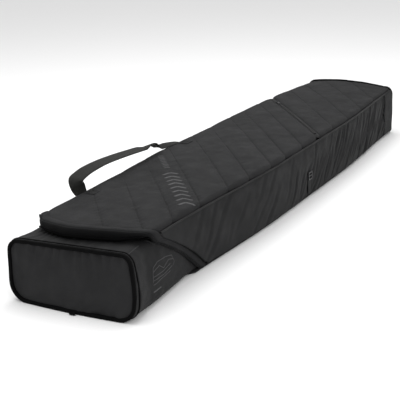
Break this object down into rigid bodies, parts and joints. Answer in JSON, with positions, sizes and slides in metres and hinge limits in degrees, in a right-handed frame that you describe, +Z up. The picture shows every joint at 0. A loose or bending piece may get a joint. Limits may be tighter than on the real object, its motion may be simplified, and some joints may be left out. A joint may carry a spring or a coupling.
{
  "type": "ski bag",
  "caption": "Long padded ski bag with quilted top, boxy nose cap under a zipped hood, diagonal pocket zip, side carry handle and tail grab loop.",
  "frame": {"origin": "middle of the flat underside of the base, half way between the nose and tail end faces", "axes": "+X along the bag from the nose to the tail, +Y towards the edge with the carry handle, +Z up"},
  "size_m": [1.936, 0.3953, 0.2336],
  "materials": {
    "shell_fabric": "matte woven polyester",
    "side_fabric": "matte woven polyester",
    "webbing": "ribbed webbing",
    "binding": "grosgrain binding tape",
    "foam": "closed-cell foam",
    "lining": "smooth woven lining",
    "zip_tape": "woven zip tape",
    "zip_coil": "nylon coil",
    "buckle": "moulded acetal",
    "zip_metal": "black lacquer"
  },
  "bodies": {
    "bag": {"top_panel_front": "shell_fabric", "top_panel_rear": "shell_fabric", "flap_ends": "shell_fabric", "nose_sleeve": "shell_fabric", "nose_end_panel": "shell_fabric", "tail_end_panel": "shell_fabric", "side_panel_left": "side_fabric", "side_panel_right": "side_fabric", "base_panel": "side_fabric", "tail_side_patches": "side_fabric", "handle_anchor_patches": "webbing", "tail_loop_anchor": "webbing", "side_strap": "webbing", "hold_down_webbing": "webbing", "nose_pull_tab": "webbing", "tail_bottom_tabs": "webbing", "nose_binding": "binding", "tail_binding": "binding", "piping_left": "binding", "piping_right": "binding", "base_foam_board": "foam", "side_foam_left": "foam", "side_foam_right": "foam", "top_foam_board": "foam", "nose_foam_pad": "foam", "tail_foam_pad": "foam", "lining": "lining", "nose_lining": "lining", "pocket_pouch": "lining", "cap_zip_tape": "zip_tape", "pocket_zip_tape": "zip_tape", "cap_zip_coil": "zip_coil", "zip_ends": "zip_coil", "pocket_zip_coil": "zip_coil", "hold_down_sockets": "buckle", "pocket_zip_stops": "zip_metal"},
    "hood": {"hood_top_panel": "shell_fabric", "hood_cheek_left": "side_fabric", "hood_cheek_right": "side_fabric", "storm_flap": "shell_fabric", "hood_piping": "binding", "hood_foam_board": "foam", "mouth_facing": "lining", "hood_zip_tape": "zip_tape", "hood_zip_coil": "zip_coil"},
    "carry_handle": {"carry_handle": "webbing"},
    "tail_grab_loop": {"tail_grab_loop": "webbing"},
    "side_buckle": {"side_buckle": "buckle"},
    "mouth_slider_left": {"mouth_slider_left": "zip_metal"},
    "mouth_slider_right": {"mouth_slider_right": "zip_metal"},
    "mouth_pull_left": {"mouth_pull_left": "zip_metal"},
    "mouth_pull_right": {"mouth_pull_right": "zip_metal"},
    "pocket_slider": {"pocket_slider": "zip_metal"},
    "pocket_pull": {"pocket_pull": "zip_metal"},
    "tongue_front": {"hold_down_tongue_front": "buckle"},
    "tongue_rear": {"hold_down_tongue_rear": "buckle"}
  },
  "joints": [
    {"name": "hood_fold", "type": "hinge", "parent": "bag", "child": "hood", "pos_m": [-0.68, 0, 0.176], "axis": [0, 1, 0], "range_deg": [0, 50]},
    {"name": "handle_swing", "type": "hinge", "parent": "bag", "child": "carry_handle", "pos_m": [-0.636, 0.15846, 0.177], "axis": [0.9993, 0.0372, 0], "range_deg": [-110, 60]},
    {"name": "grab_loop_swing", "type": "hinge", "parent": "bag", "child": "tail_grab_loop", "pos_m": [0.9575, 0, 0.138], "axis": [0, -1, 0], "range_deg": [0, 120]},
    {"name": "side_buckle_tilt", "type": "hinge", "parent": "bag", "child": "side_buckle", "pos_m": [0.062, -0.1872, 0.0585], "axis": [1, 0, 0], "range_deg": [0, 60]},
    {"name": "mouth_slide_left", "type": "slide", "parent": "bag", "child": "mouth_slider_left", "axis": [0, 1, 0], "range_m": [0, 0.1]},
    {"name": "mouth_slide_right", "type": "slide", "parent": "bag", "child": "mouth_slider_right", "axis": [0, -1, 0], "range_m": [0, 0.1]},
    {"name": "mouth_pull_left_lift", "type": "hinge", "parent": "mouth_slider_left", "child": "mouth_pull_left", "pos_m": [-0.847, 0.01, 0.1594], "axis": [1, 0, 0], "range_deg": [0, 20]},
    {"name": "mouth_pull_right_lift", "type": "hinge", "parent": "mouth_slider_right", "child": "mouth_pull_right", "pos_m": [-0.847, -0.01, 0.1594], "axis": [-1, 0, 0], "range_deg": [0, 20]},
    {"name": "pocket_slide", "type": "slide", "parent": "bag", "child": "pocket_slider", "axis": [-0.7951, -0.6065, 0], "range_m": [0, 0.42]},
    {"name": "pocket_pull_lift", "type": "hinge", "parent": "pocket_slider", "child": "pocket_pull", "pos_m": [0.53228, 0.1153, 0.1766], "axis": [-0.6065, 0.7951, 0], "range_deg": [0, 150]},
    {"name": "tongue_front_release", "type": "slide", "parent": "bag", "child": "tongue_front", "axis": [0, 1, 0], "range_m": [0, 0.045]},
    {"name": "tongue_rear_release", "type": "slide", "parent": "bag", "child": "tongue_rear", "axis": [0, 1, 0], "range_m": [0, 0.045]}
  ]
}
